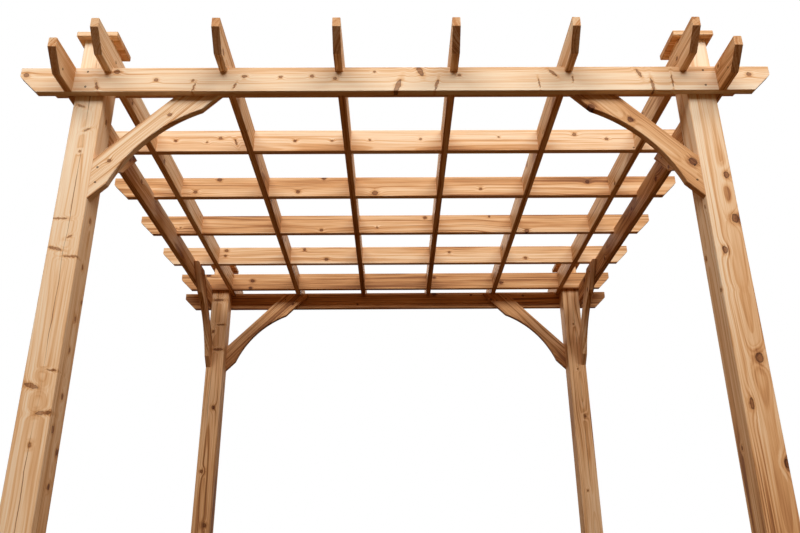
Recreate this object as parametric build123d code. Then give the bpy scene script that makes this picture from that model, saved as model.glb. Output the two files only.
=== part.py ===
# Garden pergola in solid timber, 3.66 m square and 3.08 m high.
#
# Four square posts carry a ring of four beams. Six rafters and six purlins lie on the
# beams and lock into each other with halving joints, so the roof is one flat open grid.
# Two curved braces stiffen every post, and a flat cap closes each post's end grain.
#
# Sizes are in millimetres. X runs along the front, Y runs from front to back, Z is up.
# The origin is on the floor, in the middle of the four posts.

import os

from build123d import *

# Timber as it is sold: planed boards 38 by 140 mm in 12 ft lengths, planed posts 140 mm
# square in 10 ft lengths.
BOARD_THICKNESS = 38.0
BOARD_HEIGHT = 140.0
BOARD_LENGTH = 3658.0
POST_SIDE = 140.0
POST_HEIGHT = 3048.0

# The roof grid
MEMBERS_EACH_WAY = 6
MEMBER_SPACING = 562.5
POST_ABOVE_GRID_UNDERSIDE = 224.0
SEAT_DEPTH = 28.0

# Every board end has a short plumb cut at the top and then slopes away at 45 degrees.
END_PLUMB = 50.0

# Braces: a board at 45 degrees with a shallow arc sawn out of its lower edge
BRACE_WIDTH = 148.0
BRACE_THICKNESS = 38.0
BRACE_DROP = 668.0
BRACE_SHOULDER = 107.0
BRACE_ARC_RISE = 58.0

# Post caps
CAP_OVERHANG = 32.0
CAP_THICKNESS = 30.0

# Eased edges: posts are rounded over, boards and caps are bevelled.
POST_ROUNDING = 6.0
BOARD_BEVEL = 2.5
CAP_BEVEL = 3.0

# Places worked out from the sizes above
HALF_LAP = BOARD_HEIGHT / 2
GRID_UNDERSIDE = POST_HEIGHT - POST_ABOVE_GRID_UNDERSIDE
BEAM_UNDERSIDE = GRID_UNDERSIDE + SEAT_DEPTH - BOARD_HEIGHT
OUTER_MEMBER = MEMBER_SPACING * (MEMBERS_EACH_WAY - 1) / 2
POST_INNER_FACE = OUTER_MEMBER + BOARD_THICKNESS / 2
POST_CENTRE = POST_INNER_FACE + POST_SIDE / 2
POST_OUTER_FACE = POST_INNER_FACE + POST_SIDE
BEAM_CENTRE = POST_OUTER_FACE + BOARD_THICKNESS / 2
MEMBER_PLACES = [MEMBER_SPACING * n - OUTER_MEMBER for n in range(MEMBERS_EACH_WAY)]
BEAM_PLACES = [-BEAM_CENTRE, BEAM_CENTRE]

# Turning a board that lies along X so that it lies along Y
FRONT_TO_BACK = Rot(0, 0, 90)


def plain_board():
    """A board on edge along X, with its underside at Z = 0 and its middle at the origin."""
    tip = BOARD_LENGTH / 2
    end_slope = BOARD_HEIGHT - END_PLUMB
    outline = Polyline(
        (-tip, BOARD_HEIGHT),
        (-tip, end_slope),
        (end_slope - tip, 0),
        (tip - end_slope, 0),
        (tip, end_slope),
        (tip, BOARD_HEIGHT),
        close=True,
    )
    board = extrude(Plane.XZ * make_face(outline), BOARD_THICKNESS / 2, both=True)
    return chamfer(board.edges().filter_by(Axis.X), BOARD_BEVEL)


def cut_notches(board, places, depth, from_top):
    """Saw a slot one board wide into the board's top or bottom edge at each place."""
    z = BOARD_HEIGHT - depth / 2 if from_top else depth / 2
    slot = Box(BOARD_THICKNESS, 2 * BOARD_THICKNESS, depth)
    return board - [Pos(place, 0, z) * slot for place in places]


def make_post():
    """A square post with its four long edges rounded over."""
    post = Box(POST_SIDE, POST_SIDE, POST_HEIGHT, align=(Align.CENTER, Align.CENTER, Align.MIN))
    return fillet(post.edges().filter_by(Axis.Z), POST_ROUNDING)


def make_cap():
    """A flat square cap, bevelled all round, that oversails the post."""
    side = POST_SIDE + 2 * CAP_OVERHANG
    cap = Box(side, side, CAP_THICKNESS, align=(Align.CENTER, Align.CENTER, Align.MIN))
    return chamfer(cap.edges(), CAP_BEVEL)


def make_brace():
    """A curved brace in the XZ plane for a post on its left, under a grid above it.

    X = 0 is the post's face and Z = 0 is the underside of the grid. The foot is cut plumb
    to bear on the post and the head is cut level to bear under the grid. The arc starts
    and ends one shoulder away from the post and from the beam's underside.
    """
    drop = BRACE_DROP
    slant = BRACE_WIDTH * 2**0.5
    shoulder = BRACE_SHOULDER / 2**0.5
    below_beam = drop - (BOARD_HEIGHT - SEAT_DEPTH)
    arc_low = (shoulder, shoulder - drop)
    arc_high = (below_beam - shoulder, below_beam - shoulder - drop)
    outline = [
        Polyline(arc_low, (0, -drop), (0, slant - drop), (drop - slant, 0), (drop, 0), arc_high),
        SagittaArc(arc_low, arc_high, BRACE_ARC_RISE),
    ]
    brace = extrude(Plane.XZ * make_face(outline), BRACE_THICKNESS / 2, both=True)
    on_a_side = brace.edges().filter_by(lambda edge: abs(edge.center().Y) > 1)
    between_the_cuts = on_a_side.filter_by(lambda edge: edge.center().X > 1 and edge.center().Z < -1)
    return chamfer(between_the_cuts, BOARD_BEVEL)


def save(name, shape):
    export_step(shape, f"parts/{name}.step")


def save_posts_and_caps():
    for y_name, y in (("front", -POST_CENTRE), ("back", POST_CENTRE)):
        for x_name, x in (("left", -POST_CENTRE), ("right", POST_CENTRE)):
            save(f"{y_name}_{x_name}_post", Pos(x, y, 0) * make_post())
            save(f"{y_name}_{x_name}_cap", Pos(x, y, POST_HEIGHT) * make_cap())


def save_beams():
    """The ring of beams. The side beams drop over the front and back beams at the corners."""
    cross_beam = cut_notches(plain_board(), BEAM_PLACES, HALF_LAP, from_top=True)
    side_beam = cut_notches(plain_board(), BEAM_PLACES, HALF_LAP, from_top=False)
    save("front_beam", Pos(0, -BEAM_CENTRE, BEAM_UNDERSIDE) * cross_beam)
    save("back_beam", Pos(0, BEAM_CENTRE, BEAM_UNDERSIDE) * cross_beam)
    save("left_beam", Pos(-BEAM_CENTRE, 0, BEAM_UNDERSIDE) * FRONT_TO_BACK * side_beam)
    save("right_beam", Pos(BEAM_CENTRE, 0, BEAM_UNDERSIDE) * FRONT_TO_BACK * side_beam)


def save_roof_grid():
    """Rafters run front to back and purlins run across. Both are seated over the beams,
    and they are halved into each other wherever they cross."""
    seated = cut_notches(plain_board(), BEAM_PLACES, SEAT_DEPTH, from_top=False)
    rafter = cut_notches(seated, MEMBER_PLACES, HALF_LAP, from_top=True)
    purlin = cut_notches(seated, MEMBER_PLACES, HALF_LAP, from_top=False)
    for number, place in enumerate(MEMBER_PLACES, start=1):
        save(f"rafter_{number}", Pos(place, 0, GRID_UNDERSIDE) * FRONT_TO_BACK * rafter)
        save(f"purlin_{number}", Pos(0, place, GRID_UNDERSIDE) * purlin)


def save_braces():
    """Each beam has a brace at both ends, set against the beam's inner face."""
    right_hand = make_brace()
    left_end = Pos(-POST_INNER_FACE, BRACE_THICKNESS / 2 - POST_OUTER_FACE, GRID_UNDERSIDE)
    right_end = Pos(POST_INNER_FACE, BRACE_THICKNESS / 2 - POST_OUTER_FACE, GRID_UNDERSIDE)
    left_hand = Rot(0, 0, 180) * right_hand
    quarter_turns = [
        ("front", 0, "left", "right"),
        ("right", 90, "front", "back"),
        ("back", 180, "right", "left"),
        ("left", 270, "back", "front"),
    ]
    for beam, angle, start, finish in quarter_turns:
        turn = Rot(0, 0, angle)
        save(f"{beam}_beam_{start}_brace", turn * left_end * right_hand)
        save(f"{beam}_beam_{finish}_brace", turn * right_end * left_hand)


def main():
    os.makedirs("parts", exist_ok=True)
    save_posts_and_caps()
    save_beams()
    save_roof_grid()
    save_braces()


if __name__ == "__main__":
    main()
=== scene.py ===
# %% [markdown]
# # A cedar garden pergola
#
# The timber is already here: the frame holds the posts, caps, beams, rafters, purlins and
# braces at their real size. What is left for Blender is the look of planed cedar, the
# screws, the light and the camera. The steps are the camera, a small helper for shader
# maths, the light, the knots, the wood, the marks of each board, and the screws.

# %% The frame
import math
import random

import bmesh
import bpy
from mathutils import Matrix, Vector


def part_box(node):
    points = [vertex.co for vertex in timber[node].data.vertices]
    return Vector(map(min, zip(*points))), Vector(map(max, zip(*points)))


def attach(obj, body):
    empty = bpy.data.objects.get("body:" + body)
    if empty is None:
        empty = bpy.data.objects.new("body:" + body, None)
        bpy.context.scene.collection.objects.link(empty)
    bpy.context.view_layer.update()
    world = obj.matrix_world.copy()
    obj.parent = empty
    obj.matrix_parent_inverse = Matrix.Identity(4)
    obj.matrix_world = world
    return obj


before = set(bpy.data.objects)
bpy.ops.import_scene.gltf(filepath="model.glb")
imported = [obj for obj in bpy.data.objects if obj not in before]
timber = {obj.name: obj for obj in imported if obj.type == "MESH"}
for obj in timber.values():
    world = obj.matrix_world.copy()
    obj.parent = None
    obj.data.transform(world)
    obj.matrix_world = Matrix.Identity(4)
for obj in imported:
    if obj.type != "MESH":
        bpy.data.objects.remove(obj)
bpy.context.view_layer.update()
print("pieces of timber:", len(timber))

# %% [markdown]
# ## The camera
#
# The pergola was photographed from the front with a moderately wide lens, half a metre
# above the floor and looking up, so the roof grid shows from below. The place and the
# angles were solved from the edges of the boards, and the lens from their vanishing
# points. A camera looks down its own -Z axis, so it is first tipped up from there.

# %% The camera
FRAME_WIDTH = 800
SENSOR_WIDTH = 36.0
FOCAL_PIXELS = 761.9
FAR_CLIP = 200
CAMERA_PLACE = (-0.020, -4.685, 0.520)
LOOK_UP, LOOK_RIGHT, ROLL = math.radians(22.44), math.radians(0.54), math.radians(-0.49)

lens = bpy.data.cameras.new("camera")
lens.sensor_fit = "HORIZONTAL"
lens.sensor_width = SENSOR_WIDTH
lens.lens = FOCAL_PIXELS * SENSOR_WIDTH / FRAME_WIDTH
lens.clip_end = FAR_CLIP
camera = bpy.data.objects.new("camera", lens)
aim = (
    Matrix.Rotation(-LOOK_RIGHT, 4, "Z")
    @ Matrix.Rotation(math.pi / 2 + LOOK_UP, 4, "X")
    @ Matrix.Rotation(ROLL, 4, "Z")
)
camera.matrix_world = Matrix.Translation(CAMERA_PLACE) @ aim
bpy.context.scene.collection.objects.link(camera)
bpy.context.scene.camera = camera
print("lens in mm:", round(lens.lens, 2))

# %% [markdown]
# ## Shader maths as Python
#
# A wood shader is mostly arithmetic, and arithmetic is easier to read as an expression
# than as a chain of nodes. A Wire stands for one output socket. Adding or multiplying
# wires adds the Math nodes, and `add` makes every other node: it is given the node's
# type, its settings, and what goes into its sockets.


# %% Shader maths
class Wire:
    """One output socket of a shader node, which can be used in an expression."""

    def __init__(self, tree, socket=None):
        self.tree = tree
        self.socket = socket

    def add(self, kind, settings=None, inputs=None, output=0):
        """Add a node with these settings and socket values, and give one of its outputs."""
        node = self.tree.nodes.new(kind)
        for name, value in (settings or {}).items():
            if name == "stops":
                self.set_stops(node.color_ramp, value)
            else:
                setattr(node, name, value)
        for key, value in (inputs or {}).items():
            if isinstance(value, Wire):
                value.into(node.inputs[key])
            else:
                node.inputs[key].default_value = value
        return Wire(self.tree, node.outputs[output])

    def into(self, socket):
        """Link this wire to a node's input."""
        self.tree.links.new(self.socket, socket)

    @staticmethod
    def set_stops(ramp, stops):
        while len(ramp.elements) < len(stops):
            ramp.elements.new(0.5)
        for element, (position, colour) in zip(ramp.elements, stops):
            element.position = position
            element.color = (*colour, 1)

    def math(self, operation, *values):
        return self.add("ShaderNodeMath", {"operation": operation}, dict(enumerate(values)))

    def vector(self, operation, other=(0, 0, 0), output=0):
        inputs = {0: self, 1: other}
        return self.add("ShaderNodeVectorMath", {"operation": operation}, inputs, output)

    def stretched(self, x, y, z):
        """The same coordinates counted faster or slower along each axis."""
        return self.vector("MULTIPLY", (x, y, z))

    def join(self, x, y, z=0.0):
        """A vector from three numbers or wires."""
        return self.add("ShaderNodeCombineXYZ", inputs={0: x, 1: y, 2: z})

    def ramp(self, low, high):
        """0 at low, 1 at high and smooth between them; low may be the larger one."""
        settings = {"interpolation_type": "SMOOTHSTEP"}
        ends = (0.0, 1.0) if low < high else (1.0, 0.0)
        inputs = {0: self, 1: min(low, high), 2: max(low, high), 3: ends[0], 4: ends[1]}
        return self.add("ShaderNodeMapRange", settings, inputs)

    def noise(self, scale, detail, output=0):
        inputs = {"Vector": self, "Scale": scale, "Detail": detail}
        return self.add("ShaderNodeTexNoise", inputs=inputs, output=output)

    def noise_about_zero(self, scale, detail):
        """Three noises in one vector, each from -0.5 to 0.5."""
        return self.noise(scale, detail, output="Color").vector("SUBTRACT", (0.5, 0.5, 0.5))

    def blend(self, first, second, amount, blend="MIX"):
        """The first colour, turned into the second one where amount is 1."""
        settings = {"data_type": "RGBA", "blend_type": blend}
        return self.add("ShaderNodeMix", settings, {0: amount, 6: first, 7: second}, 2)

    def __add__(self, other):
        return self.math("ADD", self, other)

    def __sub__(self, other):
        return self.math("SUBTRACT", self, other)

    def __rsub__(self, other):
        return self.math("SUBTRACT", other, self)

    def __mul__(self, other):
        return self.math("MULTIPLY", self, other)

    __radd__ = __add__
    __rmul__ = __mul__


def new_material(name):
    """An empty material, with the wire to build it from and its shader node."""
    material = bpy.data.materials.new(name)
    material.use_nodes = True
    return material, Wire(material.node_tree), material.node_tree.nodes["Principled BSDF"]


# %% [markdown]
# ## Floor, sky and lamps
#
# The photo has an even white background and one broad soft light, high in front of the
# pergola. It leaves the front faces bright and the undersides deep brown, and it fades
# towards the posts' feet and the back posts, as a lamp at a few metres does and the sun
# does not. So the key is a wide area lamp. A weak lamp behind lights the faces that the
# photo doesn't show. The sky is dim and warm except to the camera and to reflections.

# %% Lamps
AIM = Vector((0, 0, 2.5))
KEY_PLACE, KEY_SIZE, KEY_POWER = (0.5, -7.0, 8.5), (15.0, 3.5), 1330
BACK_PLACE, BACK_SIZE, BACK_POWER = (-2.0, 9.0, 6.5), (8.0, 3.0), 330
KEY_COLOUR, BACK_COLOUR = (0.98, 1.0, 1.05), (1.0, 0.92, 0.80)


def add_lamp(name, place, size, power, colour):
    """A rectangular lamp that shines at the middle of the roof."""
    lamp = bpy.data.lights.new(name, "AREA")
    lamp.shape = "RECTANGLE"
    lamp.size, lamp.size_y = size
    lamp.energy = power
    lamp.color = colour
    lamp_object = bpy.data.objects.new(name, lamp)
    turn = (AIM - Vector(place)).to_track_quat("-Z", "Y").to_matrix().to_4x4()
    lamp_object.matrix_world = Matrix.Translation(place) @ turn
    lamp_object.visible_camera = False
    bpy.context.scene.collection.objects.link(lamp_object)


add_lamp("key_lamp", KEY_PLACE, KEY_SIZE, KEY_POWER, KEY_COLOUR)
add_lamp("back_lamp", BACK_PLACE, BACK_SIZE, BACK_POWER, BACK_COLOUR)
print("lamps:", [lamp.name for lamp in bpy.data.lights])

# %% Sky
SKY_LIGHT, SKY_SEEN = (0.20, 0.125, 0.06, 1), (1, 1, 1, 1)

world = bpy.data.worlds.new("sky")
world.use_nodes = True
bpy.context.scene.world = world
sky = Wire(world.node_tree)
rays = [
    sky.add("ShaderNodeLightPath", output=f"Is {ray} Ray")
    for ray in ("Camera", "Glossy", "Transmission")
]
looked_at = sky.math("MAXIMUM", rays[0], sky.math("MAXIMUM", rays[1], rays[2]))
sky_colour = sky.blend(SKY_LIGHT, SKY_SEEN, looked_at)
sky_colour.into(world.node_tree.nodes["Background"].inputs["Color"])
print("sky colours:", SKY_LIGHT[:3], SKY_SEEN[:3])

# %% [markdown]
# A white floor would send light up and make the undersides too bright, because in the
# photo they are deep brown. So the floor's real colour is dark, and only the camera sees
# it pale. Part of that paleness is a glow, which keeps the far floor from turning grey,
# and the rest is lit, so that the pergola's shadow still shows on it.

# %% Floor
FLOOR_SIZE = 60.0
FLOOR_BOUNCE = (0.12, 0.06, 0.022, 1)
FLOOR_SEEN, FLOOR_GLOW = (0.30, 0.30, 0.30, 1), (0.64, 0.64, 0.64, 1)
NO_GLOW = (0, 0, 0, 1)

floor_mesh = bmesh.new()
bmesh.ops.create_grid(floor_mesh, x_segments=1, y_segments=1, size=FLOOR_SIZE / 2)
floor_data = bpy.data.meshes.new("floor")
floor_mesh.to_mesh(floor_data)
floor_mesh.free()
floor = bpy.data.objects.new("floor", floor_data)
bpy.context.scene.collection.objects.link(floor)

paving, paving_wire, paving_shader = new_material("pale_paving")
to_camera = paving_wire.add("ShaderNodeLightPath", output="Is Camera Ray")
paving_wire.blend(FLOOR_BOUNCE, FLOOR_SEEN, to_camera).into(paving_shader.inputs["Base Color"])
paving_wire.blend(NO_GLOW, FLOOR_GLOW, to_camera).into(paving_shader.inputs["Emission Color"])
paving_shader.inputs["Emission Strength"].default_value = 1.0
paving_shader.inputs["Roughness"].default_value = 1.0
paving_shader.inputs["Specular IOR Level"].default_value = 0.0
floor_data.materials.append(paving)
print("floor is", FLOOR_SIZE, "m across")

# %% [markdown]
# ## Knots and checks
#
# A knot is a branch that the trunk has grown around. Cut across, it shows as a round eye
# with a dark rim. Cut along its length, it shows as a narrow bar, which is called a
# spike knot. Both are stretched balls, so a Mapping node of the texture kind can turn
# and scale each one to a unit ball, and the distance from its middle does the rest. On
# a board a knot goes right through. A post is sawn round the pith, so its knots start
# in the middle and reach one face only.

# %% Knots
POST_HALF = 0.07
THROUGH_BOARD = 0.20
EYE_REACH, SPIKE_REACH = 0.05, 0.03
BOARD_EYE_LENGTH, FACE_EYE_LENGTH = 1.25, 1.3
SIDE_EYE_LENGTH, SIDE_EYE_WIDTH = 1.1, 0.75


class Knot:
    """A stretched ball in a piece's own coordinates: u along, v across, w through."""

    def __init__(self, centre, radii, lean=0.0):
        self.centre = centre
        self.radii = radii
        self.lean = lean


def eye(u, v, size):
    """A round knot through a board."""
    return Knot((u, v, 0), (size * BOARD_EYE_LENGTH, size, THROUGH_BOARD))


def spike(u, v_low, v_high, width, lean=0.0):
    """A bar across a board's face, from one height to another, leaning by an angle."""
    middle, reach = (v_low + v_high) / 2, (v_high - v_low) / 2
    return Knot((u, middle, 0), (width / 2, reach, THROUGH_BOARD), lean)


def face_eye(u, v, size):
    """A round knot on the front face of a post."""
    return Knot((u, v, -POST_HALF), (size * FACE_EYE_LENGTH, size, EYE_REACH))


def face_spike(u, v_low, v_high, width, lean=0.0):
    """A bar on the front face of a post."""
    middle, reach = (v_low + v_high) / 2, (v_high - v_low) / 2
    return Knot((u, middle, -POST_HALF), (width / 2, reach, SPIKE_REACH), lean)


def side_eye(u, w, size, side):
    """A round knot on the left (-1) or right (1) side of a post."""
    radii = (size * SIDE_EYE_LENGTH, EYE_REACH, size * SIDE_EYE_WIDTH)
    return Knot((u, side * POST_HALF, w), radii)


print("knots on a post reach in by", EYE_REACH, "m")

# %% Distance from the nearest knot
RIPPLE_SCALE, RIPPLE = 70.0, (0.012, 0.008, 0.008)


def knot_distance(local, knots):
    """How far a point is from the nearest knot, where 1 is the knot's own edge."""
    ripple = local.noise_about_zero(RIPPLE_SCALE, 1.0).stretched(*RIPPLE)
    rough = local.vector("ADD", ripple)
    nearest = None
    for knot in knots:
        settings = {"vector_type": "TEXTURE"}
        inputs = {0: rough, 1: knot.centre, 2: (0, 0, knot.lean), 3: knot.radii}
        ball = rough.add("ShaderNodeMapping", settings, inputs)
        distance = ball.vector("LENGTH", output="Value")
        nearest = distance if nearest is None else local.math("MINIMUM", nearest, distance)
    return nearest


print("knot edges waver by up to", max(RIPPLE) / 2, "m")

# %% [markdown]
# A post that holds the pith dries more around its rings than across them, so it splits
# along the middle of a face. The split, a check, wanders with the grain, and it opens
# and closes along its length. Here it is a line on the front face, whose width comes
# from a noise that only changes along the post. The face has no gap, so the line's
# darkness is painted shade.

# %% Drying checks
CHECK_HALF_WIDTH, CHECK_SWAY = 0.0016, 0.035
SWAY_PER_METRE, OPENING_PER_METRE = 3.0, 2.3
CHECK_SOFT_EDGE, CHECK_HARD_EDGE = 0.0009, -0.0004
OPEN_FROM, OPEN_TO = 0.40, 0.62
FRONT_FROM, FRONT_TO = 0.01, 0.03


def check_line(local, shifted, v, w, line):
    """1 along a thin wandering split down a post's front face."""
    sway = (shifted.stretched(SWAY_PER_METRE, 0, 0).noise(1.0, 5.0) - 0.5) * CHECK_SWAY
    opening = shifted.stretched(OPENING_PER_METRE, 0, 0).noise(1.0, 3.0)
    half_width = opening.ramp(OPEN_FROM, OPEN_TO) * CHECK_HALF_WIDTH
    beside = local.math("ABSOLUTE", v - line - sway) - half_width
    on_front = (w * -1).ramp(FRONT_FROM, FRONT_TO)
    return beside.ramp(CHECK_SOFT_EDGE, CHECK_HARD_EDGE) * on_front


print("widest check:", CHECK_HALF_WIDTH * 2000, "mm")

# %% [markdown]
# ## Planed cedar
#
# Wood is a solid pattern, so the shader works in three dimensions. The growth rings are
# distances from the pith, an axis that lies outside most boards and inside the posts.
# Slow noise bends them, and around a knot they bulge, which draws the loops that planed
# boards show. The same rings come out as arcs on the sawn ends, with no second pattern.

# %% Grain coordinates
SEED_STEPS = (3.7, 1.3, 2.1)


def grain_space(wire, centre, along, across):
    """Object coordinates moved to the piece's middle and turned so that X is the grain."""
    turn = Matrix((along, across, along.cross(across)))
    place = wire.add("ShaderNodeTexCoord", output="Object")
    inputs = {0: place, 1: -(turn @ centre), 2: turn.to_euler()}
    return wire.add("ShaderNodeMapping", inputs=inputs)


print("two boards are", SEED_STEPS[0], "m apart in the pattern")

# %% Distance from the pith
BEND, BEND_ACROSS = 0.06, 2.5
BULGE, BULGE_FALL = 0.010, 0.16


def ring_radius(local, shifted, board, near):
    """The distance from the pith, bent by slow noise and pushed outwards at knots."""
    slow = shifted.stretched(board["waves"], BEND_ACROSS, BEND_ACROSS)
    bend = slow.noise_about_zero(1.0, 2.0).stretched(0, BEND, BEND)
    from_pith = local.vector("ADD", bend).vector("SUBTRACT", (0, *board["pith"]))
    radius = from_pith.stretched(0, 1, 1).vector("LENGTH", output="Value")
    if near:
        radius = radius + local.math("EXPONENT", near * near * -BULGE_FALL) * BULGE
    return radius


print("rings bulge by", BULGE * 1000, "mm at a knot")

# %% [markdown]
# Five patterns lie on those rings and fibres: broad stripes of a few centimetres, fine
# stripes, the dark late wood at the end of each year's ring, streaks, and fibres about two
# millimetres wide. A sixth is a slow cloud. Each changes little along the grain and much
# across it, which is what makes it read as wood. The last three are given as how often
# they change in a metre, along the grain and in the two directions across it.

# %% Grain patterns
RING_WIDTH = 0.0060
BROAD_PER_METRE, FINE_PER_METRE = 34, 120
BROAD_ALONG, FINE_ALONG = 0.35, 0.7
RING_WOBBLE = 1.6
STRIPE_FROM, STRIPE_TO = 0.50, 0.62
LATE_WOOD_FROM, LATE_WOOD_FULL, LATE_WOOD_END = 0.35, 0.90, 0.93
CLOUD, STREAKS, FIBRES = (1.3, 8, 8), (3, 130, 130), (7, 420, 420)


def grain_layers(local, shifted, radius, u, seed):
    """The patterns of the wood by name, each from about 0 to about 1."""
    far = u + seed * SEED_STEPS[0]
    broad = local.join(radius * BROAD_PER_METRE, far * BROAD_ALONG).noise(1.0, 2.0)
    fine = local.join(radius * FINE_PER_METRE, far * FINE_ALONG, seed).noise(1.0, 2.0)
    rings = local.math("FRACT", radius * (1 / RING_WIDTH) + fine * RING_WOBBLE)
    darkening = rings.ramp(LATE_WOOD_FROM, LATE_WOOD_FULL)
    return {
        "broad": broad,
        "stripes": fine.ramp(STRIPE_FROM, STRIPE_TO),
        "late_wood": darkening * rings.ramp(1.0, LATE_WOOD_END),
        "cloud": shifted.stretched(*CLOUD).noise(1.0, 2.0),
        "streaks": shifted.stretched(*STREAKS).noise(1.0, 3.0),
        "fibres": shifted.stretched(*FIBRES).noise(1.0, 2.0),
    }


print("growth rings in a post:", round(POST_HALF / RING_WIDTH))

# %% [markdown]
# One number, depth, runs from pale sapwood to dark heartwood, and one colour ramp turns
# it into cedar. Every pattern adds to that number, each about its own middle, so every
# layer moves along the same range of cedar colours and none can bring in a foreign one.
# On the back beam, its braces, the side beams and the rafters, depth also carries
# painted shade.

# %% Cedar colours
CEDAR_RANGE = [
    (0.00, (0.89, 0.71, 0.49)),
    (0.30, (0.82, 0.54, 0.30)),
    (0.60, (0.66, 0.345, 0.14)),
    (0.85, (0.43, 0.185, 0.065)),
    (1.00, (0.26, 0.105, 0.038)),
]
RING_STRENGTHS = {"broad": (0.5, 1.05), "stripes": (0.0, 0.28), "late_wood": (0.3, 0.18)}
FIBRE_STRENGTHS = {"cloud": (0.5, 0.35), "streaks": (0.5, 0.65), "fibres": (0.5, 0.30)}
STRIPES_MEAN = 0.07
HALO_FROM, HALO_TO, HALO_STRENGTH = 2.4, 0.9, 0.26


def cedar_depth(layers, u, v, board, near):
    """How dark the wood is, from 0 for sapwood to 1 for the darkest heartwood."""
    # drift paints shade on the rafters and side beams, darker towards the back
    depth = v * board["edge"] + u * board["drift"] + (board["depth"] - STRIPES_MEAN)
    for name, (middle, strength) in RING_STRENGTHS.items():
        depth = depth + (layers[name] - middle) * (strength * board["contrast"])
    for name, (middle, strength) in FIBRE_STRENGTHS.items():
        depth = depth + (layers[name] - middle) * strength
    if near:
        depth = depth + near.ramp(HALO_FROM, HALO_TO) * HALO_STRENGTH
    return depth


print("patterns in the wood:", len(RING_STRENGTHS) + len(FIBRE_STRENGTHS))

# %% [markdown]
# Knots and sawn ends are darker than the wood that they lie in, whatever its colour, and a
# check is darkened with painted shade, as if the split had depth. So each is a tint that
# multiplies the colour, and a knot in a pale board stays warm. They also stand a little
# lower, and that goes into the bump with the fibres.

# %% Marks in the wood
KNOT_TINTS = [
    (0.00, (0.20, 0.13, 0.10)),
    (0.35, (0.42, 0.29, 0.22)),
    (0.65, (0.33, 0.22, 0.17)),
    (0.88, (0.13, 0.09, 0.08)),
    (1.00, (0.28, 0.20, 0.16)),
]
KNOT_EDGE_FROM, KNOT_EDGE_TO = 1.12, 0.94
# The check's tint is painted shade: it darkens the line as the inside of a split would be.
CHECK_SHADE_TINT, CHECK_STRENGTH = (0.30, 0.19, 0.13, 1), 0.9
END_GRAIN_TINT = (0.80, 0.70, 0.60, 1)
END_FROM, END_TO = 0.4, 0.9
LATE_WOOD_RELIEF, FIBRE_RELIEF, KNOT_RELIEF, CHECK_RELIEF = 0.4, 0.6, 0.6, 0.8


def add_knots(colour, relief, near, strength):
    """Colour and relief with the knots' hearts and rims in them."""
    heart = near.ramp(KNOT_EDGE_FROM, KNOT_EDGE_TO)
    tint = near.add("ShaderNodeValToRGB", {"stops": KNOT_TINTS}, {0: near})
    colour = near.blend(colour, tint, heart * strength, "MULTIPLY")
    return colour, relief - heart * KNOT_RELIEF


def add_end_grain(colour, along):
    """The colour, darker on faces that are sawn across the grain."""
    facing = colour.add("ShaderNodeNewGeometry", output="Normal")
    across = facing.vector("DOT_PRODUCT", tuple(along), output="Value")
    end_face = colour.math("ABSOLUTE", across).ramp(END_FROM, END_TO)
    return colour.blend(colour, END_GRAIN_TINT, end_face, "MULTIPLY")


print("steps in a knot's colour:", len(KNOT_TINTS))

# %% One piece of cedar
BUMP_STRENGTH, BUMP_HEIGHT = 0.30, 0.0008
ROUGHNESS, FIBRE_ROUGHNESS = 0.56, 0.20
WOOD_GLOSS = 0.15


def cedar(name, centre, along, across, board, seed):
    """The material of one piece of timber, from its board's own marks."""
    material, wire, shader = new_material(name)
    local = grain_space(wire, centre, along, across)
    shifted = local.vector("ADD", tuple(seed * step for step in SEED_STEPS))
    axes = [local.add("ShaderNodeSeparateXYZ", inputs={0: local}, output=i) for i in range(3)]
    u, v, w = axes

    near = knot_distance(local, board["knots"]) if board["knots"] else None
    radius = ring_radius(local, shifted, board, near)
    layers = grain_layers(local, shifted, radius, u, seed)
    depth = cedar_depth(layers, u, v, board, near)
    colour = depth.add("ShaderNodeValToRGB", {"stops": CEDAR_RANGE}, {0: depth})
    relief = layers["late_wood"] * LATE_WOOD_RELIEF + layers["fibres"] * FIBRE_RELIEF

    if near:
        colour, relief = add_knots(colour, relief, near, board["knot_strength"])
    if board["check"] is not None:
        split = check_line(local, shifted, v, w, board["check"])
        # painted shade along the check, where the face has no real gap
        colour = wire.blend(colour, CHECK_SHADE_TINT, split * CHECK_STRENGTH, "MULTIPLY")
        relief = relief - split * CHECK_RELIEF
    colour = add_end_grain(colour, along)

    inputs = {"Strength": BUMP_STRENGTH, "Distance": BUMP_HEIGHT, "Height": relief}
    wire.add("ShaderNodeBump", inputs=inputs).into(shader.inputs["Normal"])
    colour.into(shader.inputs["Base Color"])
    (ROUGHNESS + layers["fibres"] * FIBRE_ROUGHNESS).into(shader.inputs["Roughness"])
    shader.inputs["Specular IOR Level"].default_value = WOOD_GLOSS
    return material


print("cedar is roughest at", ROUGHNESS + FIBRE_ROUGHNESS)

# %% [markdown]
# ## The boards
#
# The boards that face the viewer carry the marks they have in the photo, in metres from
# the middle of each board. The others get theirs from a seeded random generator, so
# they are the same on every run.

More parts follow.
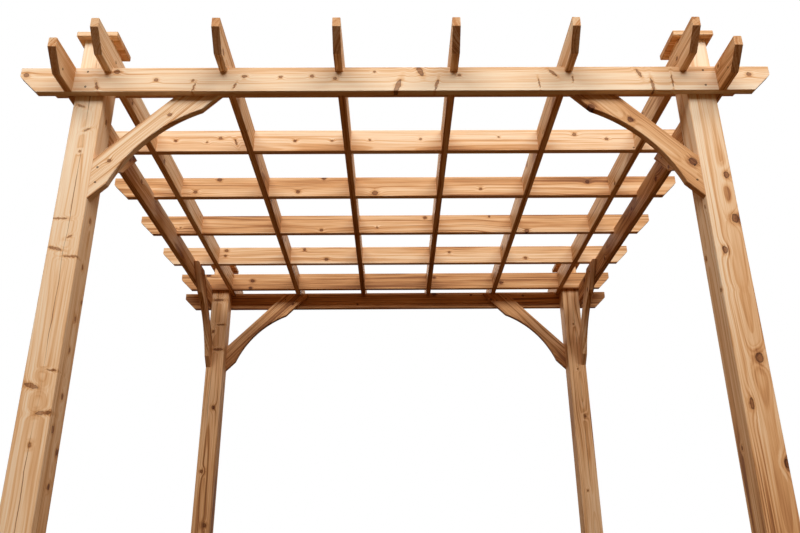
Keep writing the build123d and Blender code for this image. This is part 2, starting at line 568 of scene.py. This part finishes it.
# %% Knots of the front beam
FRONT_BEAM_KNOTS = [
    eye(-1.80, 0.027, 0.011), eye(-1.363, 0.046, 0.012), eye(-1.167, -0.002, 0.009),
    eye(-0.99, -0.006, 0.006), eye(-0.74, 0.017, 0.009), eye(-0.565, 0.013, 0.007),
    eye(-0.413, 0.018, 0.008), eye(-0.30, 0.004, 0.008), eye(-0.107, 0.042, 0.006),
    eye(0.306, 0.021, 0.007), eye(1.727, 0.022, 0.011),
    spike(-1.45, -0.06, -0.015, 0.012, 0.3), spike(-0.982, -0.068, -0.02, 0.008, -0.25),
    spike(-0.785, -0.055, -0.02, 0.009, -0.4), spike(0.005, -0.085, 0.0, 0.024, -0.35),
    spike(0.115, 0.015, 0.075, 0.024, 0.4), spike(0.194, -0.068, -0.003, 0.012, -0.25),
    spike(0.694, -0.055, 0.0, 0.007, 0.1), spike(0.765, 0.006, 0.060, 0.013, 0.8),
    spike(0.86, -0.02, 0.012, 0.007), spike(1.187, 0.005, 0.055, 0.016, 0.45),
    spike(1.246, -0.08, 0.0, 0.014, 0.1), spike(1.345, -0.05, 0.02, 0.007),
]
print("knots on the front beam:", len(FRONT_BEAM_KNOTS))

# %% Knots of the posts
FRONT_LEFT_POST_KNOTS = [
    face_spike(1.133, -0.050, -0.012, 0.013, 0.35), face_spike(1.000, 0.002, 0.034, 0.011, -0.4),
    face_spike(0.529, -0.072, -0.004, 0.009), face_spike(0.438, 0.010, 0.034, 0.009, -0.5),
    face_spike(0.380, -0.065, -0.004, 0.013, 0.25), face_spike(0.341, 0.010, 0.072, 0.010, 0.05),
    face_spike(-0.177, 0.022, 0.064, 0.007, 0.1), face_spike(-0.243, -0.062, 0.002, 0.018, 0.3),
    face_spike(-0.356, 0.006, 0.070, 0.014, -0.05),
    face_eye(0.881, 0.0, 0.005), face_eye(-0.485, 0.006, 0.006),
    side_eye(1.088, 0.005, 0.012, 1), side_eye(0.551, 0.006, 0.011, 1),
    side_eye(0.318, 0.004, 0.010, 1), side_eye(0.168, 0.053, 0.009, 1),
    side_eye(0.077, 0.013, 0.009, 1), side_eye(-0.069, 0.008, 0.008, 1),
    side_eye(-0.270, 0.013, 0.009, 1), side_eye(-0.416, -0.028, 0.014, 1),
    side_eye(-0.498, 0.045, 0.012, 1), side_eye(-0.639, 0.021, 0.011, 1),
]
FRONT_RIGHT_POST_KNOTS = [
    face_eye(0.740, 0.044, 0.014), face_eye(0.514, 0.046, 0.017),
    face_eye(0.358, -0.027, 0.013), face_eye(-0.141, 0.034, 0.017),
    face_eye(-0.580, 0.065, 0.014), face_spike(-0.336, -0.042, -0.026, 0.050),
    side_eye(0.361, 0.040, 0.008, -1), side_eye(0.587, -0.041, 0.008, -1),
    side_eye(0.172, -0.051, 0.009, -1), side_eye(-0.503, 0.016, 0.008, -1),
]
BACK_LEFT_POST_KNOTS = [
    face_spike(1.219, -0.05, 0.03, 0.020), face_spike(0.999, -0.01, 0.05, 0.012),
    face_spike(0.784, -0.02, 0.06, 0.018), face_eye(0.939, -0.033, 0.010),
    face_eye(0.3, 0.02, 0.012), face_eye(-0.2, -0.03, 0.010), face_eye(-0.6, 0.03, 0.012),
]
print("knots on the front left post:", len(FRONT_LEFT_POST_KNOTS))

# %% Knots of the purlins and braces
PURLIN_2_KNOTS = [
    eye(-1.02, 0.02, 0.009), eye(-1.10, -0.01, 0.006), eye(-1.28, 0.0, 0.007),
    eye(-0.587, -0.003, 0.007), eye(-0.374, -0.002, 0.006), eye(-0.154, 0.002, 0.006),
    eye(0.141, 0.008, 0.007), eye(0.60, 0.02, 0.006), eye(1.043, 0.036, 0.010),
    eye(1.23, 0.005, 0.008), spike(-0.93, -0.03, 0.01, 0.012, 0.4),
]
PURLIN_3_KNOTS = [
    eye(-0.470, 0.062, 0.010), eye(-0.636, -0.038, 0.011), eye(-0.137, -0.046, 0.015),
    eye(-1.15, 0.055, 0.012), eye(-1.30, -0.035, 0.010), eye(0.55, -0.02, 0.008),
    eye(1.25, 0.03, 0.012),
]
PURLIN_5_KNOTS = [
    eye(-1.333, 0.044, 0.012), eye(-1.338, 0.0, 0.009), eye(-0.719, 0.053, 0.010),
    eye(-0.546, -0.035, 0.012), eye(0.42, 0.02, 0.009), eye(1.02, -0.03, 0.011),
]
PURLIN_6_KNOTS = [
    eye(-1.223, 0.008, 0.014), eye(-1.236, -0.058, 0.010), eye(-1.602, 0.062, 0.012),
    eye(0.33, 0.03, 0.010), eye(0.9, -0.02, 0.012),
]
LEFT_BRACE_KNOTS = [eye(0.079, 0.083, 0.008), eye(-0.281, 0.085, 0.008)]
RIGHT_BRACE_KNOTS = [
    eye(0.031, 0.081, 0.012), eye(-0.323, 0.106, 0.017), eye(0.211, 0.006, 0.013),
]
print("knots on the second purlin:", len(PURLIN_2_KNOTS))

# %% [markdown]
# A board's depth says how dark it is, and contrast how strong its stripes are. Edge says
# how much darker it gets across its face, and drift the same along its length, both per
# metre. On the rafters and the side beams drift is painted shade, darker towards the
# back, and the back beam and its braces have a depth raised by painted shade. Pith is
# where the trunk's middle lay, across and through the board, and waves is how often the
# grain bends in a metre. Check is where on the face a post has split.

# %% What sets each board apart
BOARDS = {
    "front_beam": {
        "depth": 0.19, "knots": FRONT_BEAM_KNOTS, "pith": (0.10, 0.12), "knot_strength": 0.8,
    },
    "front_left_post": {
        "depth": 0.36, "knots": FRONT_LEFT_POST_KNOTS, "check": 0.007, "edge": 1.2,
        "drift": -0.11, "pith": (0.006, 0.02), "contrast": 0.75, "knot_strength": 0.7,
    },
    "front_right_post": {
        "depth": 0.46, "knots": FRONT_RIGHT_POST_KNOTS, "pith": (0.03, 0.03), "waves": 0.6,
        "contrast": 1.15, "drift": -0.19,
    },
    "back_left_post": {
        "depth": 0.54, "knots": BACK_LEFT_POST_KNOTS, "pith": (0.0, 0.0), "check": -0.02,
    },
    "back_right_post": {"depth": 0.52, "pith": (0.01, 0.01), "check": 0.01},
    "purlin_2": {"depth": 0.32, "knots": PURLIN_2_KNOTS},
    "purlin_3": {"depth": 0.57, "knots": PURLIN_3_KNOTS},
    "purlin_4": {"depth": 0.56},
    "purlin_5": {"depth": 0.44, "knots": PURLIN_5_KNOTS, "edge": 2.0},
    "purlin_6": {"depth": 0.74, "knots": PURLIN_6_KNOTS},
    "front_beam_left_brace": {"depth": 0.36, "knots": LEFT_BRACE_KNOTS, "contrast": 1.3},
    "front_beam_right_brace": {"depth": 0.60, "knots": RIGHT_BRACE_KNOTS, "contrast": 0.6},
    "front_left_cap": {"depth": 0.42},
    "front_right_cap": {"depth": 0.54},
    # Painted shade: the back beam's braces have a depth raised for the shade at the back.
    "back_beam_left_brace": {"depth": 0.78},
    "back_beam_right_brace": {"depth": 0.78},
    # Painted shade: drift darkens the side beams towards the back.
    "left_beam": {"depth": 0.54, "drift": 0.06},
    "right_beam": {"depth": 0.64, "drift": 0.11},
    # Painted shade: the back beam's depth is raised for the shade that purlin_6 casts on it.
    "back_beam": {"depth": 0.74},
}
print("boards with marks of their own:", len(BOARDS))

# %% [markdown]
# Which way the grain runs follows from a piece's shape: up a post, along a board, and
# at 45 degrees in a brace, which is sawn from a straight board laid on the slant.

# %% Grain directions
X, Y, Z = Vector((1, 0, 0)), Vector((0, 1, 0)), Vector((0, 0, 1))


def grain_of(name, low, high):
    """The grain's direction in a piece, and the direction across its wide face."""
    if name.endswith("post"):
        return Z, X
    if name.endswith("cap"):
        return X, Y
    long_way = X if high.x - low.x > high.y - low.y else Y
    if name.endswith("brace"):
        lean = long_way if (low + high).dot(long_way) < 0 else -long_way
        return (Z + lean).normalized(), (Z - lean).normalized()
    return long_way, Z


# %% Marks of an ordinary board
BOARD_HEIGHT = 0.14
FIRST_KNOT, KNOT_GAP, KNOT_SPREAD = (0.1, 0.5), (0.25, 0.75), 0.42
SMALLEST_KNOT, KNOT_SIZES = 0.005, 0.009
# Painted shade: rafters grow darker towards the back of the roof.
RAFTER_BACK_SHADE = 0.06


def scattered_knots(chance, length):
    """Knots along a board, most of them small, in places that a seed decides."""
    knots = []
    u = -length / 2 + chance.uniform(*FIRST_KNOT)
    while u < length / 2:
        v = chance.uniform(-KNOT_SPREAD, KNOT_SPREAD) * BOARD_HEIGHT
        knots.append(eye(u, v, SMALLEST_KNOT + KNOT_SIZES * chance.random() ** 2))
        u += chance.uniform(*KNOT_GAP)
    return knots


def ordinary_board(name, length, chance):
    """What a board has where BOARDS doesn't say otherwise."""
    return {
        "depth": 0.52 + chance.uniform(-0.08, 0.08),
        "pith": (chance.choice((-1, 1)) * chance.uniform(0.03, 0.12), chance.uniform(0.06, 0.16)),
        "waves": chance.uniform(0.5, 1.1),
        "contrast": 1.0,
        "edge": chance.uniform(-1.0, 1.0),
        "drift": RAFTER_BACK_SHADE if name.startswith("rafter") else 0.0,
        "check": None,
        "knots": scattered_knots(chance, length),
        "knot_strength": 0.85,
    }


print("knots in one 3.6 m board:", len(scattered_knots(random.Random(1), 3.6)))

# %% Cedar on every piece
BRACE_LENGTH = 0.95
FIRST_SEED = 100

for number, name in enumerate(sorted(timber)):
    low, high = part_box(name)
    along, across = grain_of(name, low, high)
    length = BRACE_LENGTH if name.endswith("brace") else (high - low).dot(along)
    board = ordinary_board(name, length, random.Random(FIRST_SEED + number))
    board.update(BOARDS.get(name, {}))
    material = cedar(name + "_cedar", (low + high) / 2, along, across, board, number + 1)
    timber[name].data.materials.clear()
    timber[name].data.materials.append(material)
print("cedar materials:", len(timber))

# %% [markdown]
# ## Screws
#
# The joints are held by coated deck screws, driven flush. Each head is a shallow dome
# 10.4 mm across with a star-shaped recess. It starts as a circle, which is extruded and
# scaled inwards ring by ring, and its underside is closed last. One head is made and
# then repeated at every place.

# %% One screw head
HEAD_RADIUS, HEAD_SIDES, HEAD_SINK = 0.0052, 24, 0.0004
HEAD_RINGS = [(0.97, 0.0006), (0.86, 0.0003), (0.60, 0.0001)]
RECESS_RADIUS, RECESS_DEPTH, RECESS_TAPER = 0.0024, 0.0018, 0.85
STAR_PITCH, STAR_DIP, STAR_WAIST = 4, 2, 0.78


def raise_face(mesh, face, scale, rise):
    """Extrude one face, scale the new one about the Z axis and lift it."""
    made = bmesh.ops.extrude_discrete_faces(mesh, faces=[face])["faces"][0]
    bmesh.ops.scale(mesh, vec=(scale, scale, 1), verts=made.verts)
    bmesh.ops.translate(mesh, vec=(0, 0, rise), verts=made.verts)
    return made


def screw_head():
    """A deck screw's head, looking along +Z from the origin on the wood's surface."""
    head = bmesh.new()
    rim = bmesh.ops.create_circle(head, segments=HEAD_SIDES, radius=HEAD_RADIUS, cap_ends=True)
    bmesh.ops.translate(head, vec=(0, 0, -HEAD_SINK), verts=rim["verts"])
    face = head.faces[:][0]
    scale_now = 1.0
    for scale, rise in HEAD_RINGS + [(RECESS_RADIUS / HEAD_RADIUS, 0.0)]:
        face = raise_face(head, face, scale / scale_now, rise)
        scale_now = scale
    waist = [v for number, v in enumerate(face.verts) if number % STAR_PITCH < STAR_DIP]
    bmesh.ops.scale(head, vec=(STAR_WAIST, STAR_WAIST, 1), verts=waist)
    raise_face(head, face, RECESS_TAPER, -RECESS_DEPTH)
    bmesh.ops.holes_fill(head, edges=head.edges[:], sides=0)
    bmesh.ops.recalc_face_normals(head, faces=head.faces[:])
    return head


head = screw_head()
open_edges = [edge for edge in head.edges if len(edge.link_faces) != 2]
head_mesh = bpy.data.meshes.new("screw_head")
head.to_mesh(head_mesh)
head.free()
print("faces in a head:", len(head_mesh.polygons), "open edges:", len(open_edges))

# %% The coating of the screws, darkened with painted shade
# The darkest colour is the brown coating and painted shade of a sunk screw hole together.
COATING_DARK_AND_HOLE_SHADE, COATING_WORN = (0.012, 0.008, 0.006, 1), (0.03, 0.020, 0.014, 1)
COATING_GLOSS, COATING_ROUGHNESS, WORN_ROUGHNESS = 0.05, 0.45, 0.3
WEAR_SCALE, WEAR_FROM, WEAR_TO = 400.0, 0.5, 0.75

coating, coating_wire, coating_shader = new_material("brown_screw_coating")
wear = coating_wire.add("ShaderNodeTexCoord", output="Object").noise(WEAR_SCALE, 2.0)
worn = wear.ramp(WEAR_FROM, WEAR_TO)
coating_colour = coating_wire.blend(COATING_DARK_AND_HOLE_SHADE, COATING_WORN, worn)
coating_colour.into(coating_shader.inputs["Base Color"])
(COATING_ROUGHNESS + wear * WORN_ROUGHNESS).into(coating_shader.inputs["Roughness"])
coating_shader.inputs["Specular IOR Level"].default_value = COATING_GLOSS
print("coating:", coating.name)


# %% A group of screws
def screws(name, places):
    """One object of screw heads, each at a place and facing a direction."""
    group = bmesh.new()
    for place, facing in places:
        before = len(group.verts)
        group.from_mesh(head_mesh)
        new = group.verts[:][before:]
        turn = Z.rotation_difference(Vector(facing)).to_matrix()
        bmesh.ops.rotate(group, cent=(0, 0, 0), matrix=turn, verts=new)
        bmesh.ops.translate(group, vec=place, verts=new)
    mesh = bpy.data.meshes.new(name)
    group.to_mesh(mesh)
    group.free()
    mesh.materials.append(coating)
    piece = bpy.data.objects.new(name, mesh)
    bpy.context.scene.collection.objects.link(piece)
    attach(piece, "root")
    print(name, len(places))


def on_all_sides(places):
    """Places on the front of the pergola, repeated on its other three sides."""
    turns = [Matrix.Rotation(math.pi / 2 * quarter, 3, "Z") for quarter in range(4)]
    return [
        (turn @ Vector(place), turn @ Vector(facing))
        for turn in turns
        for place, facing in places
    ]


# %% [markdown]
# The places follow from the joints. Two screws go through each beam into a post, two at
# each brace's foot and two at its head, and one down through every crossing of the roof.
# One more shows inside the front tail of each side beam.

# %% Beam screws
BEAM_SCREW_X, BEAM_SCREW_HEIGHTS = 1.505, (-0.04, 0.047)
TAIL_SCREW_Y, TAIL_SCREW_Z = -1.727, 2.751

beam_low, beam_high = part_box("front_beam")
beam_middle = (beam_low.z + beam_high.z) / 2
beam_places = [
    ((side * BEAM_SCREW_X, beam_low.y, beam_middle + height), (0, -1, 0))
    for side in (-1, 1)
    for height in BEAM_SCREW_HEIGHTS
]
tail_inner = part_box("right_beam")[0].x
tail_places = [
    ((side * tail_inner, TAIL_SCREW_Y, TAIL_SCREW_Z), (-side, 0, 0)) for side in (-1, 1)
]
screws("beam_screws", on_all_sides(beam_places) + tail_places)

# %% Brace screws
FOOT_IN, FOOT_DROPS = 0.026, (0.506, 0.585)
HEAD_PLACES = ((0.47, 0.045), (0.55, 0.060))

grid_low, grid_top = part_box("purlin_1")[0].z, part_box("purlin_1")[1].z
post_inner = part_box("front_right_post")[0].x
brace_front, brace_back = (corner.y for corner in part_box("front_beam_left_brace"))
foot_places = [
    ((side * (post_inner - FOOT_IN), brace_front, grid_low - drop), (0, -1, 0))
    for side in (-1, 1)
    for drop in FOOT_DROPS
]
head_places = [
    ((side * (post_inner - inward), brace_back, grid_low - drop), (0, 1, 0))
    for side in (-1, 1)
    for inward, drop in HEAD_PLACES
]
screws("brace_screws", on_all_sides(foot_places + head_places))

# %% Roof screws
TOE_SCREW_X, TOE_SCREW_HEIGHT = 1.381, 0.016

rafters = [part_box(f"rafter_{number}") for number in range(1, 7)]
middles = [(low.x + high.x) / 2 for low, high in rafters]
beam_line = sum(corner.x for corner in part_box("right_beam")) / 2
crossings = [(x, y) for x in middles for y in middles]
crossings += [(x, side * beam_line) for x in middles for side in (-1, 1)]
crossings += [(side * beam_line, y) for y in middles for side in (-1, 1)]
roof_places = [((x, y, grid_top), (0, 0, 1)) for x, y in crossings]
toe_place = (TOE_SCREW_X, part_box("purlin_2")[0].y, grid_low + TOE_SCREW_HEIGHT)
roof_places.append((toe_place, (0, -1, 0)))
screws("roof_screws", roof_places)

bpy.context.scene.view_settings.view_transform = "Standard"
